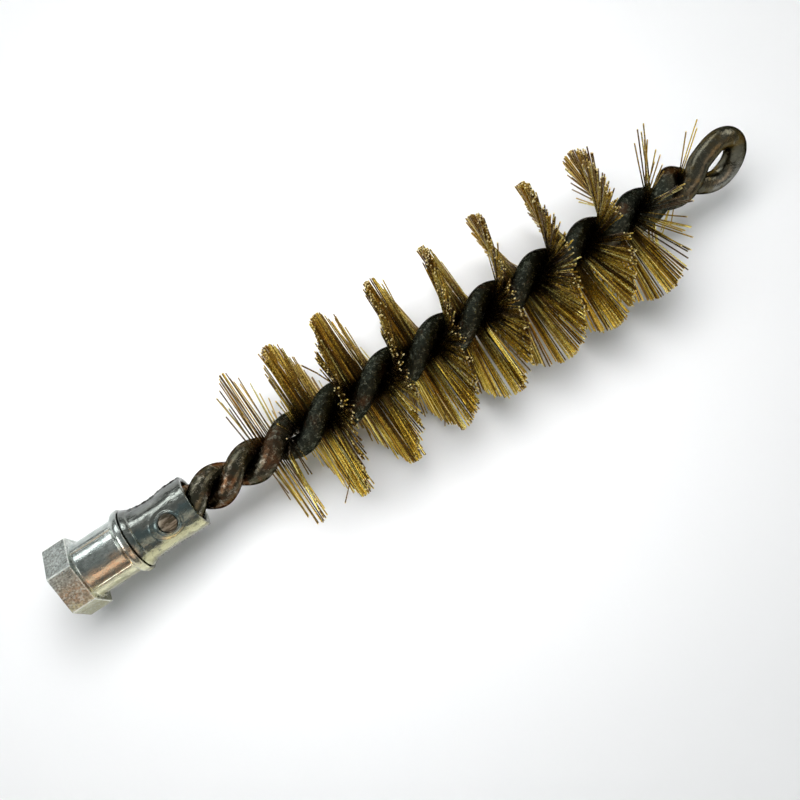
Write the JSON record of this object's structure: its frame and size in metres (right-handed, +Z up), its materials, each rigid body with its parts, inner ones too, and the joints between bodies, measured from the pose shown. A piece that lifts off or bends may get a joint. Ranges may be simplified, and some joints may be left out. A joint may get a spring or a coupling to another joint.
{
  "type": "wire tube brush",
  "caption": "Twisted-wire tube cleaning brush with brass filaments in a double helix, an eye at one end and a threaded hexagon coupling at the other.",
  "frame": {"origin": "centre of the female thread's mouth, on the end face of the hexagon", "axes": "+X along the brush from the threaded end to the eye, +Z up, with the brush lying level on its filament tips at Z = -25 mm"},
  "size_m": [0.2295, 0.05, 0.05],
  "materials": {
    "cast_zinc": "satin zinc casting, finely grained on the hexagon",
    "pin_steel": "dark oiled steel with drawn streaks",
    "stem_steel": "dark annealed steel wire, oily, with brown oxide",
    "brass_wire": "drawn brass wire, glossy, darker at the roots"
  },
  "bodies": {
    "root": {"coupling": "cast_zinc", "cross_pin": "pin_steel", "stem_wire": "stem_steel", "filaments_01": "brass_wire", "filaments_02": "brass_wire", "filaments_03": "brass_wire", "filaments_04": "brass_wire", "filaments_05": "brass_wire", "filaments_06": "brass_wire", "filaments_07": "brass_wire", "filaments_08": "brass_wire", "filaments_09": "brass_wire", "filaments_10": "brass_wire", "filaments_11": "brass_wire", "filaments_12": "brass_wire", "filaments_13": "brass_wire", "filaments_14": "brass_wire", "filaments_15": "brass_wire", "filaments_16": "brass_wire", "filaments_17": "brass_wire", "filaments_18": "brass_wire", "filaments_19": "brass_wire", "filaments_20": "brass_wire", "filaments_21": "brass_wire", "filaments_22": "brass_wire", "filaments_23": "brass_wire", "filaments_24": "brass_wire", "filaments_25": "brass_wire", "filaments_26": "brass_wire", "filaments_27": "brass_wire"}
  },
  "joints": []
}
